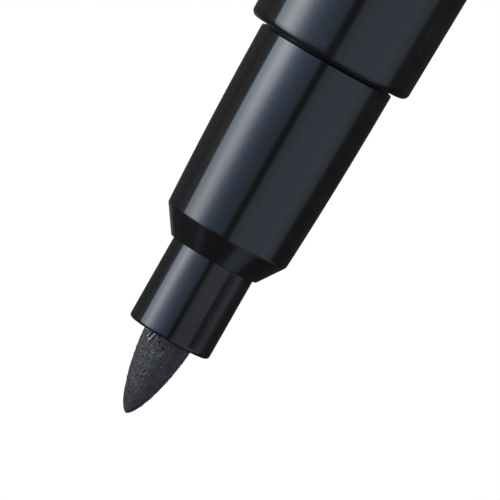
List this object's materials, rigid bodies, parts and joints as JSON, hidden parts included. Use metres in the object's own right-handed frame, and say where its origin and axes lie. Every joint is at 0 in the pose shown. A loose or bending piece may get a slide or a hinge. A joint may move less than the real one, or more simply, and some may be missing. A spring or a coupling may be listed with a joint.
{
  "type": "brush pen",
  "caption": "Large-format brush pen with a pointed fibre nib in a stepped grip section, standing nib-up on its posted cap, which has a pocket clip.",
  "frame": {"origin": "centre of the cap's flat closed end, on which the pen stands", "axes": "+Z along the pen's axis, from the cap's closed end towards the nib; +X through the pocket clip"},
  "size_m": [0.0172, 0.016, 0.144],
  "materials": {
    "body_black": "glossy blue-black injection-moulded plastic",
    "holder_black": "satin black moulded plastic",
    "nib_fibre": "ink-stained bonded fibre, matte and slightly hairy",
    "reservoir_fibre": "ink-soaked fibre bundle",
    "reservoir_film": "thin clear film",
    "liner_grey": "soft matte grey moulded plastic"
  },
  "bodies": {
    "cap": {"cap_shell": "body_black", "inner_cap": "liner_grey", "cap_end_plug": "body_black"},
    "clip": {"pocket_clip": "body_black"},
    "pen": {"barrel": "body_black", "grip_section": "body_black", "nib_holder": "holder_black", "reservoir_core": "reservoir_fibre", "reservoir_film": "reservoir_film", "tail_plug": "body_black"},
    "nib": {"brush_nib": "nib_fibre"}
  },
  "joints": [
    {"name": "pen_lift", "type": "slide", "parent": "cap", "child": "pen", "axis": [0, 0, 1], "range_m": [0, 0.03]},
    {"name": "nib_pull", "type": "slide", "parent": "pen", "child": "nib", "axis": [0, 0, 1], "range_m": [0, 0.028]},
    {"name": "clip_flex", "type": "hinge", "parent": "cap", "child": "clip", "pos_m": [0.0062, 0, 0.0041], "axis": [0, 1, 0], "range_deg": [0, 6], "stiffness_Nm_per_rad": 0.3}
  ]
}
